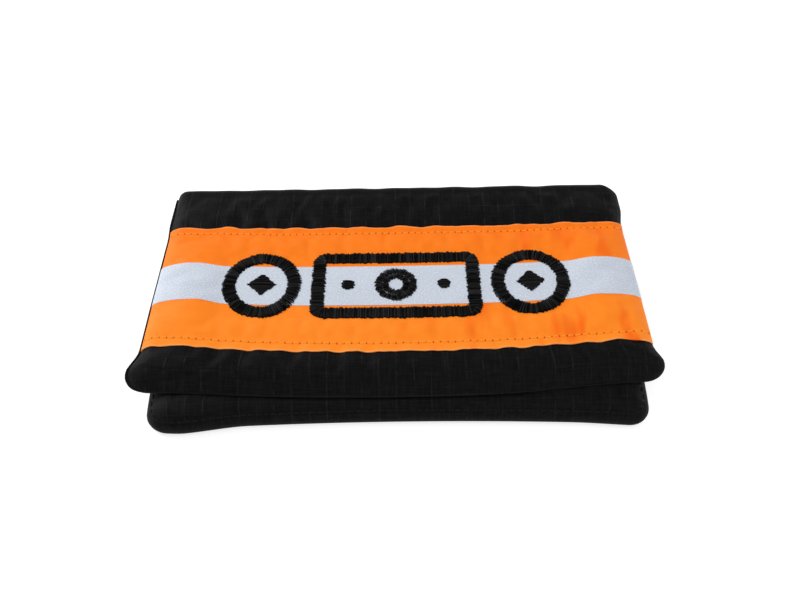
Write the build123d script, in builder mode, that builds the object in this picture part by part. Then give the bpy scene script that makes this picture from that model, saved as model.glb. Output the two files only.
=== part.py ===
"""Fold-over cash deposit bag: a padded cloth pouch whose back wall carries on up a narrow spine
and over the top as a flap, which a hook-and-loop strip holds shut.

Millimetres. +X is along the fold line, +Y runs from the pouch's closed front seam to the fold,
+Z is up. The bag lies on its back wall, closed, with the origin under the middle of its outline.
"""

import os

from build123d import *

# Driving dimensions
flap_width = 220.0
flap_depth = 128.0  # fold to front edge, at the corners
flap_bow = 3.5  # how far the middle of the flap's front edge stands forward of its corners
pouch_width_front = 208.0
pouch_width_back = 214.0
pouch_depth = 136.0  # fold to front seam, at the corners
pouch_bow = 3.5  # how far the filled pouch draws in the middle of its front seam
flap_corner_radius = 12.0
pouch_corner_radius = 9.0

cloth = 0.6  # outer rip-stop cloth
wadding = 2.4
lining = 0.4
wall = cloth + wadding + lining
pocket_gap = 6.0  # room for notes between the two walls
closure_gap = 2.6  # hook strip and loop strip between the front wall and the flap

seam_width = 10.5  # turned seam along the pouch's sides and front
mouth_setback = 24.0  # fold to the pocket's mouth
wall_play = 0.4  # between the front wall and the seams beside it
fold_play = 0.1  # each side of a fold line

band_width = 76.0
band_setback = 29.0  # fold to the band
band_thickness = 0.4
stripe_width = 24.0
stripe_thickness = 0.2

mark_height = 39.0
mark_thickness = 0.8
mark_gap = 5.0
coin_width = 36.0
coin_diamond = 9.0  # side of the square on its corner inside the ring
banknote_width = 77.0
banknote_ring_radius = 9.5
banknote_dot_pitch = 44.0
stroke = 6.0  # width of a satin-stitched line

closure_length = 110.0
closure_width = 20.0
closure_strip = 0.95
closure_front = 10.0  # flap's front edge to the hook strip

thread_width = 0.5
thread_rise = 0.3
closure_thread_rise = 0.2
topstitch_inset = 5.0
band_stitch_back_inset = 4.0
band_stitch_front_inset = 5.0
closure_stitch_inset = 1.5

backing_length = 172.0
backing_width = 50.0
backing_thickness = 0.3

# Derived levels and lines
back_y = pouch_depth / 2
front_y = -pouch_depth / 2
flap_front_y = back_y - flap_depth
mouth_y = back_y - mouth_setback
hinge_y = front_y + seam_width

pocket_floor = wall
front_bottom = pocket_floor + pocket_gap
front_top = front_bottom + wall
flap_bottom = front_top + closure_gap
flap_top = flap_bottom + wall

band_back_y = back_y - band_setback
band_front_y = band_back_y - band_width
band_y = (band_back_y + band_front_y) / 2
band_top = flap_top + band_thickness
closure_y = flap_front_y + closure_front + closure_width / 2

front_wall_width = pouch_width_front - 2 * (seam_width + wall_play)
front_wall_depth = mouth_y - hinge_y - fold_play
front_wall_y = mouth_y - front_wall_depth / 2

# The cloth turns through a right angle at the foot and at the top of the spine, so the walls meet
# there in a mitre whose outer corner is the fold line. Each plane's normal points to the spine.
foot_mitre = Plane(origin=(0, back_y, 0), x_dir=(1, 0, 0), z_dir=(0, 1, 1))
top_mitre = Plane(origin=(0, back_y, flap_top), x_dir=(1, 0, 0), z_dir=(0, 1, -1))


def save(builder, name):
    """Labels a finished piece and writes its STEP file."""
    builder.part.label = name
    export_step(builder.part, f"parts/{name}.step")


def flap_outline(inset, mode=Mode.ADD):
    """The flap in plan, drawn in along its front and sides; its front edge bows out."""
    half = flap_width / 2 - inset
    front = flap_front_y + inset
    with BuildSketch(mode=Mode.PRIVATE) as outline:
        with BuildLine():
            Polyline((-half, front), (-half, back_y), (half, back_y), (half, front))
            ThreePointArc((-half, front), (0, front - flap_bow), (half, front))
        make_face()
        fillet(outline.vertices().group_by(Axis.Y)[0], flap_corner_radius - inset)
    return add(outline.sketch, mode=mode)


def pouch_outline(inset, mode=Mode.ADD):
    """The pouch in plan, drawn in along its front and sides; its front seam bows in."""
    front = front_y + inset
    front_half = pouch_width_front / 2 - inset
    back_half = pouch_width_back / 2 - inset
    with BuildSketch(mode=Mode.PRIVATE) as outline:
        with BuildLine():
            Polyline((-front_half, front), (-back_half, back_y), (back_half, back_y), (front_half, front))
            ThreePointArc((-front_half, front), (0, front + pouch_bow), (front_half, front))
        make_face()
        fillet(outline.vertices().group_by(Axis.Y)[0], pouch_corner_radius - inset)
    return add(outline.sketch, mode=mode)


def keep_below(plane):
    """Cuts the part in hand at a mitre and keeps the side away from the spine."""
    split(bisect_by=plane.offset(-fold_play), keep=Keep.BOTTOM)


def keep_between_mitres():
    """Cuts both ends of a spine layer at their mitres."""
    split(bisect_by=foot_mitre.offset(fold_play), keep=Keep.TOP)
    split(bisect_by=top_mitre.offset(fold_play), keep=Keep.TOP)


# Pouch: back wall and seams


def make_back_panel():
    with BuildPart() as back_panel_outer:
        with BuildSketch():
            pouch_outline(0)
        extrude(amount=wall)
        with BuildSketch(Plane.XY.offset(cloth)):
            pouch_outline(cloth)
        extrude(amount=wall, mode=Mode.SUBTRACT)
        keep_below(foot_mitre)
    save(back_panel_outer, "back_panel_outer")

    with BuildPart() as back_panel_padding:
        with BuildSketch(Plane.XY.offset(cloth)):
            pouch_outline(cloth)
        extrude(amount=wadding)
        keep_below(foot_mitre)
    save(back_panel_padding, "back_panel_padding")

    with BuildPart() as back_panel_lining:
        with BuildSketch(Plane.XY.offset(cloth + wadding)):
            pouch_outline(cloth)
        extrude(amount=lining)
        keep_below(foot_mitre)
    save(back_panel_lining, "back_panel_lining")


def make_pouch_seam():
    """The turned seam that joins the two walls along the sides and the front."""
    behind_mouth = back_y - mouth_y
    with BuildPart() as pouch_seam_edge:
        with BuildSketch(Plane.XY.offset(pocket_floor)):
            pouch_outline(0)
            with Locations((0, mouth_y + behind_mouth / 2)):
                Rectangle(2 * flap_width, behind_mouth, mode=Mode.SUBTRACT)
            with Locations((0, (hinge_y + mouth_y) / 2)):
                Rectangle(pouch_width_front - 2 * seam_width, mouth_y - hinge_y, mode=Mode.SUBTRACT)
        extrude(amount=pocket_gap + wall)
    save(pouch_seam_edge, "pouch_seam_edge")

    with BuildPart() as pouch_topstitching:
        with BuildSketch(Plane.XY.offset(front_top)):
            pouch_outline(topstitch_inset - thread_width / 2)
            pouch_outline(topstitch_inset + thread_width / 2, mode=Mode.SUBTRACT)
            with Locations((0, mouth_y + behind_mouth / 2)):
                Rectangle(2 * flap_width, behind_mouth, mode=Mode.SUBTRACT)
        extrude(amount=thread_rise)
    save(pouch_topstitching, "pouch_topstitching")


# Front wall


def make_front_panel():
    with BuildPart() as front_panel_outer:
        with BuildSketch(Plane.XY.offset(front_bottom)):
            with Locations((0, front_wall_y)):
                Rectangle(front_wall_width, front_wall_depth)
        extrude(amount=wall)
        with BuildSketch(Plane.XY.offset(front_bottom)):
            with Locations((0, front_wall_y)):
                Rectangle(front_wall_width - 2 * cloth, front_wall_depth - 2 * cloth)
        extrude(amount=wall - cloth, mode=Mode.SUBTRACT)
    save(front_panel_outer, "front_panel_outer")

    with BuildPart() as front_panel_padding:
        with BuildSketch(Plane.XY.offset(front_bottom + lining)):
            with Locations((0, front_wall_y)):
                Rectangle(front_wall_width - 2 * cloth, front_wall_depth - 2 * cloth)
        extrude(amount=wadding)
    save(front_panel_padding, "front_panel_padding")

    with BuildPart() as front_panel_lining:
        with BuildSketch(Plane.XY.offset(front_bottom)):
            with Locations((0, front_wall_y)):
                Rectangle(front_wall_width - 2 * cloth, front_wall_depth - 2 * cloth)
        extrude(amount=lining)
    save(front_panel_lining, "front_panel_lining")

    with BuildPart() as mouth_topstitching:
        with BuildSketch(Plane.XY.offset(front_top)):
            with Locations((0, mouth_y - topstitch_inset)):
                Rectangle(front_wall_width, thread_width)
        extrude(amount=thread_rise)
    save(mouth_topstitching, "mouth_topstitching")


# Hook-and-loop closure


def stitch_frame(inset):
    """One round of stitching inside the edge of a closure strip."""
    grow = thread_width
    length, width = closure_length - 2 * inset, closure_width - 2 * inset
    with Locations((0, closure_y)):
        Rectangle(length + grow, width + grow)
        Rectangle(length - grow, width - grow, mode=Mode.SUBTRACT)


def make_closure():
    with BuildPart() as loop_strip:
        with BuildSketch(Plane.XY.offset(front_top)):
            with Locations((0, closure_y)):
                RectangleRounded(closure_length, closure_width, closure_stitch_inset)
        extrude(amount=closure_strip)
    save(loop_strip, "loop_strip")

    with BuildPart() as loop_strip_stitching:
        with BuildSketch(Plane.XY.offset(front_top + closure_strip)):
            stitch_frame(closure_stitch_inset)
        extrude(amount=closure_thread_rise)
    save(loop_strip_stitching, "loop_strip_stitching")

    hook_face = flap_bottom - closure_strip
    with BuildPart() as hook_strip:
        with BuildSketch(Plane.XY.offset(hook_face)):
            with Locations((0, closure_y)):
                RectangleRounded(closure_length, closure_width, closure_stitch_inset)
        extrude(amount=closure_strip)
    save(hook_strip, "hook_strip")

    with BuildPart() as hook_strip_stitching:
        with BuildSketch(Plane.XY.offset(hook_face - closure_thread_rise)):
            stitch_frame(closure_stitch_inset + 2 * thread_width)
        extrude(amount=closure_thread_rise)
    save(hook_strip_stitching, "hook_strip_stitching")


# Spine


def spine_slab(outer_face_inset, thickness, side_inset, mode=Mode.ADD):
    """An upright slab across the fold, from outer_face_inset inside the spine's outer face."""
    with Locations((0, back_y - outer_face_inset, 0)):
        Box(
            flap_width - 2 * side_inset,
            thickness,
            flap_top,
            align=(Align.CENTER, Align.MAX, Align.MIN),
            mode=mode,
        )


def make_spine():
    with BuildPart() as spine_outer:
        spine_slab(0, wall, 0)
        spine_slab(cloth, wall, cloth, mode=Mode.SUBTRACT)
        keep_between_mitres()
    save(spine_outer, "spine_outer")

    with BuildPart() as spine_padding:
        spine_slab(cloth, wadding, cloth)
        keep_between_mitres()
    save(spine_padding, "spine_padding")

    with BuildPart() as spine_lining:
        spine_slab(cloth + wadding, lining, cloth)
        keep_between_mitres()
    save(spine_lining, "spine_lining")


# Flap and band


def make_flap():
    with BuildPart() as flap_outer:
        with BuildSketch(Plane.XY.offset(flap_bottom)):
            flap_outline(0)
        extrude(amount=wall)
        with BuildSketch(Plane.XY.offset(flap_bottom)):
            flap_outline(cloth)
        extrude(amount=wall - cloth, mode=Mode.SUBTRACT)
        keep_below(top_mitre)
    save(flap_outer, "flap_outer")

    backing_bottom = flap_top - cloth - backing_thickness
    with BuildPart() as embroidery_backing:
        with BuildSketch(Plane.XY.offset(backing_bottom)):
            with Locations((0, band_y)):
                Rectangle(backing_length, backing_width)
        extrude(amount=backing_thickness)
    save(embroidery_backing, "embroidery_backing")

    with BuildPart() as flap_padding:
        with BuildSketch(Plane.XY.offset(flap_bottom + lining)):
            flap_outline(cloth)
        extrude(amount=wadding)
        add(embroidery_backing.part, mode=Mode.SUBTRACT)
        keep_below(top_mitre)
    save(flap_padding, "flap_padding")

    with BuildPart() as flap_lining:
        with BuildSketch(Plane.XY.offset(flap_bottom)):
            flap_outline(cloth)
        extrude(amount=lining)
        keep_below(top_mitre)
    save(flap_lining, "flap_lining")


def band_stitch_row(y):
    """A straight row of stitching across the band."""
    with Locations((0, y, band_top)):
        Box(
            flap_width - 2 * cloth,
            thread_width,
            thread_rise,
            align=(Align.CENTER, Align.CENTER, Align.MIN),
        )


def make_band():
    with BuildPart() as high_visibility_band:
        with BuildSketch(Plane.XY.offset(flap_top)):
            with Locations((0, band_y)):
                Rectangle(flap_width, band_width)
        extrude(amount=band_thickness)
    save(high_visibility_band, "high_visibility_band")

    with BuildPart() as band_back_stitching:
        band_stitch_row(band_back_y - band_stitch_back_inset)
    save(band_back_stitching, "band_back_stitching")

    with BuildPart() as band_front_stitching:
        band_stitch_row(band_front_y + band_stitch_front_inset)
    save(band_front_stitching, "band_front_stitching")

    with BuildPart() as reflective_stripe:
        with BuildSketch(Plane.XY.offset(band_top)):
            with Locations((0, band_y)):
                Rectangle(flap_width, stripe_width)
        extrude(amount=stripe_thickness)
    save(reflective_stripe, "reflective_stripe")
    return reflective_stripe.part


# Embroidery


def coin_mark():
    """A coin seen face on: a ring round a diamond."""
    with BuildSketch(mode=Mode.PRIVATE) as mark:
        Ellipse(coin_width / 2, mark_height / 2)
        Ellipse(coin_width / 2 - stroke, mark_height / 2 - stroke, mode=Mode.SUBTRACT)
        Rectangle(coin_diamond, coin_diamond, rotation=45)
    return mark.sketch


def banknote_mark():
    """A banknote: a frame round a ring, with a dot at each side of the ring."""
    with BuildSketch(mode=Mode.PRIVATE) as mark:
        RectangleRounded(banknote_width, mark_height, stroke)
        Rectangle(banknote_width - 2 * stroke, mark_height - 2 * stroke, mode=Mode.SUBTRACT)
        Circle(banknote_ring_radius)
        Circle(banknote_ring_radius - stroke, mode=Mode.SUBTRACT)
        with GridLocations(banknote_dot_pitch, 0, 2, 1):
            Circle(stroke / 2)
    return mark.sketch


def make_mark(name, x, mark, stripe):
    """One satin-stitched mark, lying on the band and over the stripe."""
    with BuildPart() as embroidered:
        with BuildSketch(Plane.XY.offset(band_top)):
            with Locations((x, band_y)):
                add(mark)
        extrude(amount=mark_thickness)
        add(stripe, mode=Mode.SUBTRACT)
    save(embroidered, name)


def make_embroidery(stripe):
    coin_x = (banknote_width + coin_width) / 2 + mark_gap
    make_mark("embroidered_coin_left", -coin_x, coin_mark(), stripe)
    make_mark("embroidered_banknote", 0, banknote_mark(), stripe)
    make_mark("embroidered_coin_right", coin_x, coin_mark(), stripe)


os.makedirs("parts", exist_ok=True)
make_back_panel()
make_pouch_seam()
make_front_panel()
make_closure()
make_spine()
make_flap()
make_embroidery(make_band())
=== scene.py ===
"""Looks for a fold-over cash deposit bag: padded black rip-stop cloth, a high-visibility trim band with a
reflective stripe, topstitching, and satin-stitched coin and banknote marks.

The frame is the CAD model's: +X along the fold, +Y to the fold, +Z up. Shapes are worked out in millimetres
and turned into metres where a mesh is made.
"""

import math

import bpy
import numpy as np
from mathutils import Matrix, Vector


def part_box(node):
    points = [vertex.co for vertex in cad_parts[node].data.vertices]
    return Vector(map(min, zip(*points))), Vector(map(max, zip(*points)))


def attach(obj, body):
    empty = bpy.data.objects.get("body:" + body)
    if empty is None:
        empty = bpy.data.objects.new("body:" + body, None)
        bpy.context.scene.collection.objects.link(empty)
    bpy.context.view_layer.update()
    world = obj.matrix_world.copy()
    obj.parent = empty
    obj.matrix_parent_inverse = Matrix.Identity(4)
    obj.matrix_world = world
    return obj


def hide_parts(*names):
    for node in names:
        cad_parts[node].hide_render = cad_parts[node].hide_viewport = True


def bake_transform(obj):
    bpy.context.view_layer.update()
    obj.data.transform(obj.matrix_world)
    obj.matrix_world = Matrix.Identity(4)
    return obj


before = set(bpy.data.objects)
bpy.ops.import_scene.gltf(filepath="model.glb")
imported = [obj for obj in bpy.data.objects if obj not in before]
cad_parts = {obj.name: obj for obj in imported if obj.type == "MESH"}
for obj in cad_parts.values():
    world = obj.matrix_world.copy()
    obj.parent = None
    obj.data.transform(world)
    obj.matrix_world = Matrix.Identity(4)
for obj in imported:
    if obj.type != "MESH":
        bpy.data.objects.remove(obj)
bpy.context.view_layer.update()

MM = 0.001


# Sizes from the frame


def box_mm(node):
    """A CAD node's lowest and highest corners in millimetres."""
    low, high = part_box(node)
    return np.array(low) / MM, np.array(high) / MM


def middle_mm(node):
    return sum(box_mm(node)) / 2


flap_low, flap_high = box_mm("flap_outer")
band_low, band_high = box_mm("high_visibility_band")
stripe_low, stripe_high = box_mm("reflective_stripe")
wall_low, wall_high = box_mm("front_panel_outer")
hook_low, hook_high = box_mm("hook_strip")
loop_low, loop_high = box_mm("loop_strip")
note_low, note_high = box_mm("embroidered_banknote")
backing_low, backing_high = box_mm("embroidery_backing")
marks_reach = box_mm("embroidered_coin_right")[1][0]

half_width = flap_high[0]
fold_y = box_mm("spine_outer")[1][1]
flap_under, flap_top = flap_low[2], flap_high[2]
flap_thickness = flap_top - flap_under
spine_middle = flap_top / 2
flap_front = flap_low[1] + 3.5  # at the flap's corners, as its front edge bows forward between them
pocket_floor = box_mm("back_panel_outer")[1][2]
front_top = box_mm("pouch_seam_edge")[1][2]
front_under = wall_low[2]
hinge_y, mouth_y = wall_low[1], wall_high[1]
wall_half = wall_high[0]
rim_inside = wall_half + 0.4
pouch_front = -fold_y - 1.0  # the turned seam stands a little proud of the cut
pouch_bow = 3.2
pouch_half_front, pouch_half_back = 105.0, 107.5

# Sizes that the CAD model leaves out

flap_corner, pouch_corner = 8.5, 9.0
outer_fold_radius, inner_fold_radius = 4.0, 1.5
fold_plump = 1.6  # how far the padding pushes the fold out
fold_crease = 0.28  # depth of the small creases along the fold
cloth_thickness = 0.5
side_seam_z = 4.6  # the pouch's edge seam, where its two walls are sewn together
seam_front_z = 3.2
flap_roll, back_roll, lining_roll, rim_roll = 5.0, 3.6, 2.0, 4.6
fold_roll_depth = 2.9
back_trim = 0.7  # how much further forward than the CAD's the band's and the stripe's back edges are cut
rim_stitch_inset, front_stitch_inset = 5.6, 2.4  # along the pouch's sides, and along its front

ripstop_pitch = 7.3
stitch_pitch = 3.2
thread_pitch = 0.56

# How the cloth lies

front_sag, tip_sag, middle_sag = 1.0, 1.6, 1.2
rest_sag = 2.3  # drop of the flap's front edge onto the pouch
flap_bow = 4.6
tip_lift, tip_middle, tip_right = 4.5, 1.4, 2.2  # how far the flap's front strip is drawn back
left_ear, right_ear = 4.2, 3.6  # how far its front corners flare out
left_swell, right_swell = 1.15, 0.5
back_spread, right_back_full, right_back_round = 0.9, 1.5, 3.8
pouch_spread, left_corner_ahead, right_corner_ahead = 0.9, 2.3, 0.8


# Small helpers


def smoothstep(t):
    """Rises smoothly from 0 at 0 to 1 at 1."""
    t = np.clip(t, 0.0, 1.0)
    return t * t * (3.0 - 2.0 * t)


def ramp(value, start, end):
    """Goes smoothly from 0 where the value is start to 1 where it is end."""
    return smoothstep((value - start) / (end - start))


def bump(t, width):
    """A smooth hump of height 1 at 0."""
    return np.exp(-((t / width) ** 2))


def rolled(t):
    """The drop of an edge that rolls over in a quarter round, from 0 at 0 to 1 at 1."""
    return 1 - np.sqrt(np.clip(1 - t * t, 0, 1))


def wander(t, wavelength, seed):
    """Smooth repeatable noise along a line, roughly between -1 and 1."""
    rng = np.random.default_rng(seed)
    waves = 4
    total = np.zeros_like(np.asarray(t, float))
    for _ in range(waves):
        length = wavelength * rng.uniform(0.55, 1.6)
        total = total + np.sin(2 * math.pi * np.asarray(t) / length + rng.uniform(0, 2 * math.pi))
    return total / waves * 1.3


def edge_lines(low, high, roll, step, both=True):
    """Grid lines from low to high, closer together where the cloth rolls over at an edge."""
    near = roll * (1 - np.cos(np.linspace(0, math.pi / 2, 7)))[:-1]
    inside_low, inside_high = low + roll, high - roll if both else high
    count = max(2, int(round((inside_high - inside_low) / step)))
    parts = [low + near, np.linspace(inside_low, inside_high, count + 1)]
    if both:
        parts.append((high - near)[::-1])
    return np.concatenate(parts)


def stack(*parts):
    """Points from their coordinates."""
    return np.stack(np.broadcast_arrays(*parts), -1)


# Shape of the closed bag: each settle function takes points from the plain shape to the way the cloth lies


def sag(x, y):
    """How far the flap and the front wall sink, towards the pouch's thin front and between the side hems."""
    front = front_sag * ramp(y, 14, -46) + tip_sag * ramp(y, -36, -60)
    return front + middle_sag * (1 - ramp(np.abs(x), 48, 92)) * ramp(y, 62, 38)


def pinch(x, y):
    """Spread of the wall's two back corners, and the rounding of the right one's very end."""
    spread = back_spread * ramp(y, 32, 46) * np.sign(x) * ramp(np.abs(x), 80, 110)
    full = right_back_full * ramp(y, 40, 52) - right_back_round * ramp(y, 60, 68)
    return spread + full * ramp(x, 88, 110)


def spread_corners(x, y):
    """How far the pouch's two front corners lie out to the side and to the front, the left one most."""
    left = ramp(x, -62, -92) * (1 - 0.6 * ramp(x, -88, -105))
    aside = ramp(y, -18, -42) * (1 - 0.8 * ramp(y, -54, -68))
    aside = pouch_spread * aside * ramp(np.abs(x), 60, 100) * np.sign(x)
    return aside, -ramp(y, -40, -66) * (left_corner_ahead * left + right_corner_ahead * ramp(x, 72, 102))


def settle_flap(p):
    """The flap bows and sags, its front corners flare, and its front rests on the pouch."""
    x, y, z = np.moveaxis(p, -1, 0)
    across = x / half_width
    middle = np.clip(1 - across**2, 0, 1) ** 1.6
    ahead = np.clip((band_high[1] - y) / (band_high[1] - flap_front), 0, 1)
    upper = ramp(z, spine_middle, flap_under)
    tip_y = band_low[1] + 1.0
    ears = np.sign(x) * np.abs(across) ** 3 * np.where(x < 0, left_ear, right_ear) * ramp(y, tip_y, tip_y - 14)
    back = ramp(y, tip_y, tip_y - 24) * (tip_lift + tip_middle * middle + tip_right * ramp(across, 0.3, 1.0))
    swell = left_swell * bump(x + 96, 13) + right_swell * bump(x - 99, 12)
    swell = swell * ramp(y, 8, -14) * ramp(y, -50, -38)
    drop = sag(x, y) + rest_sag * ramp(y, -48, -60)
    return stack(x + ears + pinch(x, y), y - flap_bow * ahead * middle + back, z + upper * (swell - drop))


def settle_flap_lining(p):
    """The flap's lining lies as the flap does, but its left edge shows beyond the outer cloth."""
    settled = settle_flap(p)
    settled[..., 0] -= 1.2 * ramp(p[..., 0], 12 - half_width, 2 - half_width)
    return settled


def settle_pouch(p):
    """The pouch's rim and front wall sag, and their front corners spread."""
    x, y, z = np.moveaxis(p, -1, 0)
    above = np.clip((z - pocket_floor) / (front_top - pocket_floor), 0, 1)
    aside, ahead = spread_corners(x, y)
    return stack(x + aside, y + ahead, z - above * sag(x, y))


def settle_back(p):
    """The back wall's front edge draws in along its middle, as the rim above it does."""
    x, y, z = np.moveaxis(p, -1, 0)
    middle = np.clip(1 - (x / pouch_half_front) ** 2, 0, 1)
    aside, ahead = spread_corners(x, y)
    return stack(x + pinch(x, y) + aside, y + pouch_bow * middle * ramp(y, -30, -68) + ahead, z)


class Wall:
    """One face of a cloth wall, flat from the front edge to the fold, and round the fold to the spine's middle.

    A point on it has flat coordinates p, across, and q, front to back, both in millimetres along the cloth.
    """

    def __init__(self, level, down, faces, half, front, corner, roll, depth, settle):
        self.level = level
        self.down = down  # 1 where the spine is below the wall, -1 where it is above
        self.faces = faces  # 1 for an outer face, -1 for a lining
        self.half = half  # half width, as a function of q
        self.front = front
        self.corner = corner
        self.roll = roll
        self.depth = depth  # how far the edge rolls, as a function of q
        self.settle = settle
        self.field = None  # movement of each point, from a simulation
        self.turn_y = fold_y if faces > 0 else fold_y - flap_thickness
        self.radius = outer_fold_radius if faces > 0 else inner_fold_radius
        self.arc = self.radius * math.pi / 2
        self.bend = self.turn_y - self.radius
        self.end = self.bend + self.arc + abs(level - spine_middle) - self.radius

    def profile(self, q):
        """y, z, the outward normal's y and z, and how far the fold is plump, before the edges roll."""
        angle = np.clip(q - self.bend, 0, self.arc) / self.radius
        straight = np.maximum(q - self.bend - self.arc, 0)
        y = np.minimum(q, self.bend) + self.radius * np.sin(angle)
        z = self.level - self.down * (self.radius * (1 - np.cos(angle)) + straight)
        plump = fold_plump * ramp(q, self.bend - 14, self.bend) * (self.faces > 0)
        y = y + plump * np.sin(angle)
        z = z + plump * np.cos(angle) * max(self.down, 0)
        proud = plump if self.down > 0 else plump * np.sin(angle)
        return y, z, self.faces * np.sin(angle), self.faces * self.down * np.cos(angle), proud

    def edge_distance(self, p, q):
        """Distance in from the cut's side and front edges, whose front corners are round."""
        dx = self.half(q) - np.abs(p)
        dy = q - self.front
        r = self.corner
        cornered = (dx < r) & (dy < r)
        return np.where(cornered, r - np.hypot(r - dx, r - dy), np.minimum(dx, dy))

    def surface(self, p, q):
        """Points on the face, as it lies."""
        y, z, ny, nz, proud = self.profile(q)
        t = 1 - np.clip(self.edge_distance(p, q) / self.roll, 0, 1)
        depth = (self.depth(q) + proud) * rolled(t)
        if self.faces > 0:
            folded = ramp(q, self.bend - 6, self.bend + 2) * np.clip(1 - (p / half_width) ** 6, 0, 1)
            folded = folded if self.down > 0 else folded * np.abs(ny)
            depth = depth - fold_crease * wander(p, 27.0, 5) * folded
        points = self.settle(stack(p, y - ny * depth, z - nz * depth))
        return points if self.field is None else points + self.field(p, q)

    def lifted(self, p, q, lift=0.0):
        """Points held off the face by lift, which may vary from point to point, and the face's normals."""
        step = 0.25
        p, q, lift = np.broadcast_arrays(np.asarray(p, float), np.asarray(q, float), lift)
        inside = np.clip(p, -self.half(q) + step, self.half(q) - step)
        across = self.surface(inside + step, q) - self.surface(inside - step, q)
        along = self.surface(inside, q + step) - self.surface(inside, q - step)
        normal = np.cross(across, along) * self.faces * self.down
        normal /= np.linalg.norm(normal, axis=-1, keepdims=True)
        return self.surface(p, q) + normal * lift[..., None], normal

    def grid(self, step):
        """Flat coordinates of a grid over the whole cut, with its front corners rounded."""
        half = self.half(np.array(self.front))
        across = edge_lines(-half, half, self.roll, step) / half
        along = edge_lines(self.front, self.end, self.roll, step, both=False)
        outside = (along < self.bend - step / 2) | (along > self.bend + self.arc + step / 2)
        along = np.sort(np.concatenate([along[outside], np.linspace(self.bend, self.bend + self.arc, 9)]))
        s, q = np.meshgrid(across, along, indexing="ij")
        p = s * self.half(q)
        r = self.corner
        a = (np.abs(p) - (self.half(q) - r)) / r
        b = ((self.front + r) - q) / r
        cornered = (a > 0) & (b > 0)
        round_a = a * np.sqrt(np.clip(1 - b * b / 2, 0, 1))
        round_b = b * np.sqrt(np.clip(1 - a * a / 2, 0, 1))
        corner_p = np.sign(p) * (self.half(q) - r + round_a * r)
        return np.where(cornered, corner_p, p), np.where(cornered, self.front + r - round_b * r, q)


def flap_half(q):
    return np.full_like(np.asarray(q, float), half_width)


def pouch_half(q):
    """The pouch widens a little towards the fold, and meets the spine's width there."""
    q = np.asarray(q, float)
    to_fold = (q - pouch_front) / (fold_y - pouch_front)
    taper = pouch_half_front + (pouch_half_back - pouch_half_front) * to_fold
    return taper + (half_width - pouch_half_back) * ramp(q, fold_y - 10, fold_y + 6)


def back_roll_depth(q):
    """The back wall's edge rises to the seam, which is lower along the pressed front."""
    seam = side_seam_z - 0.2
    to_front = (seam_front_z - side_seam_z) * ramp(q, -38, -60)
    return seam + to_front + (fold_roll_depth - seam) * ramp(q, 50, 62)


def back_lining_depth(q):
    return 0.9 * ramp(q, 50, 62)


flap_face = Wall(
    flap_top, 1, 1, flap_half, flap_front, flap_corner, flap_roll, lambda q: fold_roll_depth, settle_flap
)
flap_lining = Wall(
    flap_under, 1, -1, flap_half, flap_front, flap_corner, lining_roll, lambda q: 0.7, settle_flap_lining
)
back_face = Wall(
    0.0, -1, 1, pouch_half, pouch_front, pouch_corner, back_roll, back_roll_depth, settle_back
)
back_lining = Wall(
    pocket_floor, -1, -1, pouch_half, pouch_front + 1.5, pouch_corner, lining_roll, back_lining_depth, settle_back
)


# Meshes


def make_object(name, points, faces, uvs=None, material_ids=None, crisp=()):
    """A smooth-shaded object from points in millimetres. uvs holds a cloth coordinate per point, also in
    millimetres, and crisp lists the points along an edge that is cut square.
    """
    mesh = bpy.data.meshes.new(name)
    mesh.from_pydata((np.asarray(points).reshape(-1, 3) * MM).tolist(), [], faces)
    mesh.update()
    if uvs is not None:
        layer = mesh.uv_layers.new(name="cloth")
        loops = np.zeros(len(mesh.loops), int)
        mesh.loops.foreach_get("vertex_index", loops)
        layer.data.foreach_set("uv", (np.asarray(uvs).reshape(-1, 2)[loops] * MM).ravel())
    if material_ids is not None:
        mesh.polygons.foreach_set("material_index", material_ids)
    mesh.polygons.foreach_set("use_smooth", [True] * len(mesh.polygons))
    crisp = set(crisp)
    if crisp:
        for edge in mesh.edges:
            edge.use_edge_sharp = edge.vertices[0] in crisp and edge.vertices[1] in crisp
    obj = bpy.data.objects.new(name, mesh)
    bpy.context.scene.collection.objects.link(obj)
    return obj


def paint(obj, *materials):
    for material in materials:
        obj.data.materials.append(material)
    return obj


def grid_faces(rows, columns, offset=0, flip=False, wrap=False):
    """Quads over a rows by columns grid of points. wrap joins the last row to the first."""
    faces = []
    for i in range(rows if wrap else rows - 1):
        near, far = offset + i * columns, offset + (i + 1) % rows * columns
        for j in range(columns - 1):
            quad = (near + j, far + j, far + j + 1, near + j + 1)
            faces.append(quad[::-1] if flip else quad)
    return faces


def slab_faces(rows, columns, offset=0, flip=False, wrap=False):
    """Faces of a closed slab, whose points are a grid and the same grid beneath it, and its edge's points."""
    count = rows * columns
    faces = grid_faces(rows, columns, offset, flip, wrap)
    faces += grid_faces(rows, columns, offset + count, not flip, wrap)
    start, end = [i * columns for i in range(rows)], [(i + 1) * columns - 1 for i in range(rows)]
    if wrap:
        loops = [start, end[::-1]]
    else:
        first_row, last_row = list(range(columns)), list(range(count - columns, count))
        loops = [start[:-1] + last_row + end[-2:0:-1] + first_row[:0:-1]]
    for loop in loops:
        for a, b in zip(loop, loop[1:] + loop[:1]):
            quad = tuple(offset + v for v in (b, a, a + count, b + count))
            faces.append(quad[::-1] if flip else quad)
    return faces, sum(loops, [])


def sheet_object(name, top, normal, uvs, thickness=cloth_thickness, flip=False):
    """A closed sheet of cloth whose outer side is a grid of points."""
    rows, columns = top.shape[:2]
    faces, edge = slab_faces(rows, columns, flip=flip)
    points = np.concatenate([top.reshape(-1, 3), (top - normal * thickness).reshape(-1, 3)])
    edges = edge + [v + rows * columns for v in edge]
    return make_object(name, points, faces, np.concatenate([uvs.reshape(-1, 2)] * 2), crisp=edges)


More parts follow.
